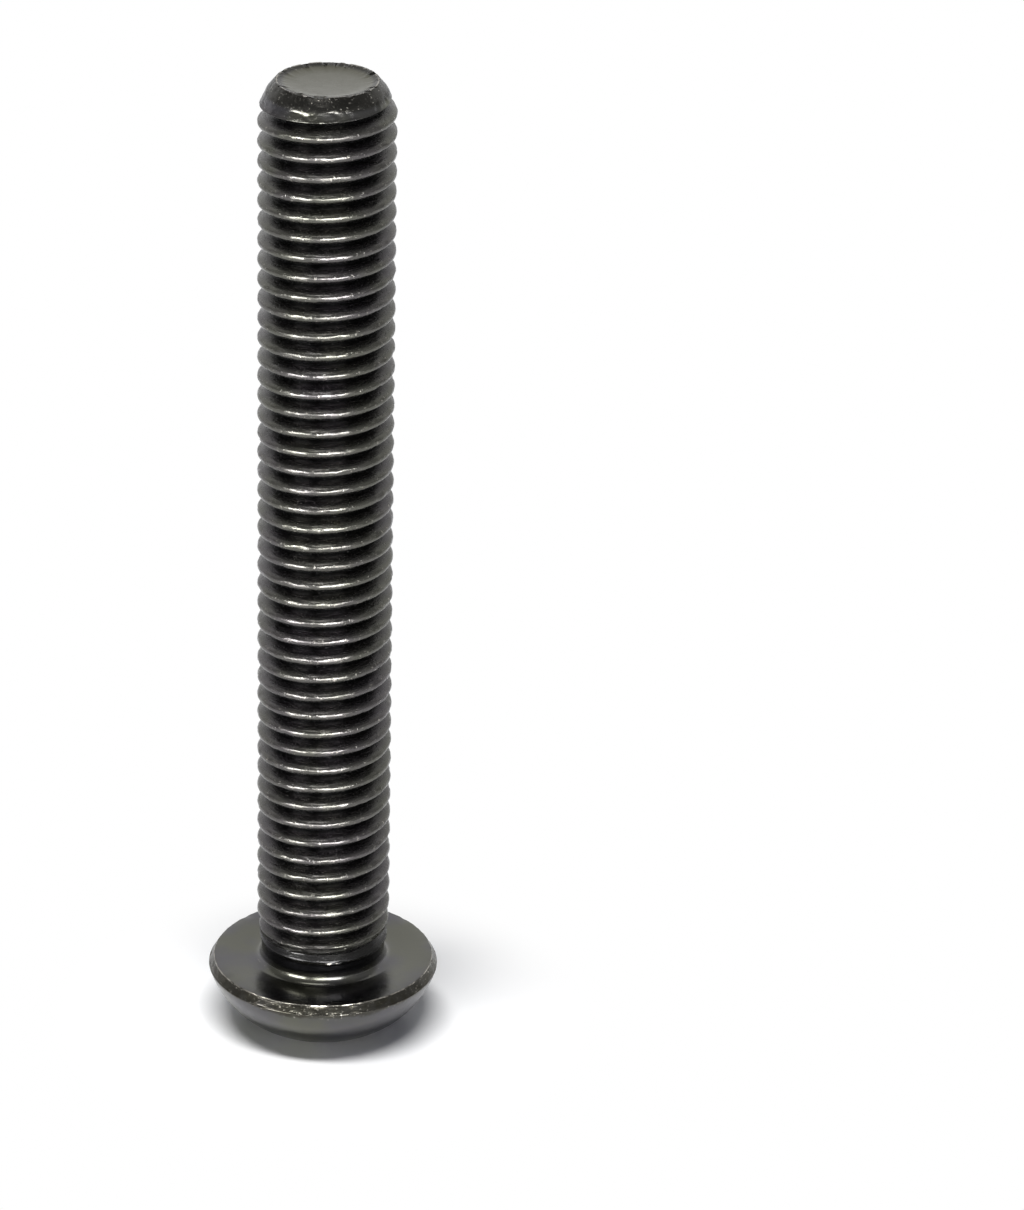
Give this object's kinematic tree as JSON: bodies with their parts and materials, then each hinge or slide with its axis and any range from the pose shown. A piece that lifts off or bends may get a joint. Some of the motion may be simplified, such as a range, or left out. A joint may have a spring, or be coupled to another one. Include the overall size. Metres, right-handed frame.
{
  "type": "button head screw",
  "caption": "Button head socket screw: domed head with a hexagon socket on a shank threaded right up to the head, in black-oxide steel. It stands on its head.",
  "frame": {"origin": "centre of the flat round the hexagon socket, which is the face that the screw stands on", "axes": "+Z along the screw's axis from the head to the threaded end; +X through a corner of the hexagon socket"},
  "size_m": [0.0172, 0.0172, 0.0753],
  "materials": {
    "black_oxide_steel": "black oxide on rolled and forged steel, lightly oiled, satin to semi-gloss"
  },
  "bodies": {
    "root": {"button_head_screw": "black_oxide_steel"}
  },
  "joints": []
}
